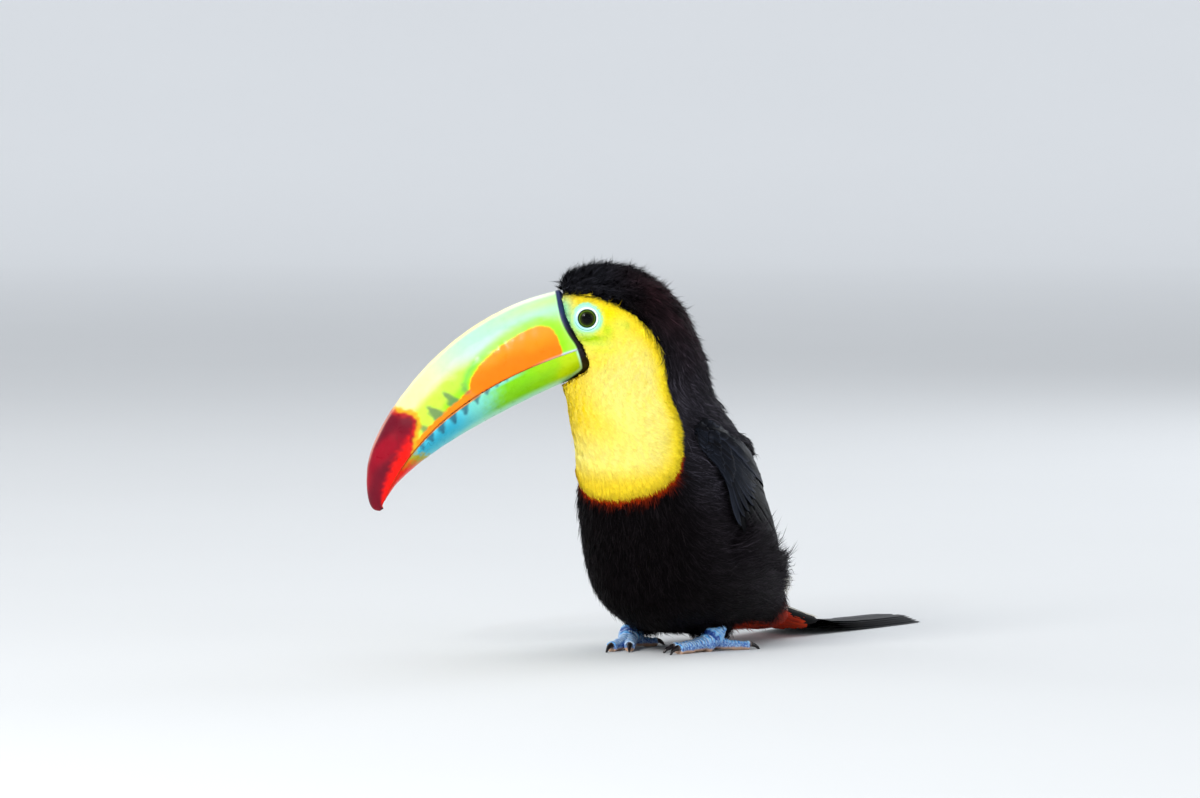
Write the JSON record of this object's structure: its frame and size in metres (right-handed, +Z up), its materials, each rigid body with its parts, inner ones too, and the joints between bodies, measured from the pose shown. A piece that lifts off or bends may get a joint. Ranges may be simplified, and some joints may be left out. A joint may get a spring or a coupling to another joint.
{
  "type": "keel-billed toucan",
  "caption": "Still life-size model of a keel-billed toucan squatting on the floor with its head turned over its right shoulder, tail laid flat behind.",
  "frame": {"origin": "on the floor, under the middle of the bird's bounding box", "axes": "+Z up; the trunk faces -Y and the tail points to +Y, so +X is the bird's left; the bill points towards -X and -Y"},
  "size_m": [0.1632, 0.3176, 0.1955],
  "materials": {
    "black_feathers": "soft black body feathers, maroon tinge on the nape",
    "face_feathers": "black crown, yellow face, bare green skin about the eye",
    "bib_feathers": "bright yellow bib with a thin red lower edge, black nape",
    "wing_feathers": "black with a blue gloss",
    "tail_feathers": "black tail feathers, white rump and red vent beside them",
    "bill_upper": "smooth horn, green with an orange side, cream ridge and crimson tip",
    "bill_lower": "smooth horn, green and turquoise with a red tip",
    "eye": "wet and clear over a dark olive iris",
    "leg_skin": "light blue scaly skin with tan soles",
    "claw": "black horn"
  },
  "bodies": {
    "root": {"head": "face_feathers", "neck": "bib_feathers", "trunk": "black_feathers", "rump": "black_feathers", "tail": "tail_feathers", "wing_left": "wing_feathers", "wing_right": "wing_feathers", "bill_upper": "bill_upper", "bill_lower": "bill_lower", "eye_left": "eye", "eye_right": "eye", "leg_left": "leg_skin", "leg_right": "leg_skin", "claw_left_1": "claw", "claw_left_2": "claw", "claw_left_3": "claw", "claw_left_4": "claw", "claw_right_1": "claw", "claw_right_2": "claw", "claw_right_3": "claw", "claw_right_4": "claw"}
  },
  "joints": []
}
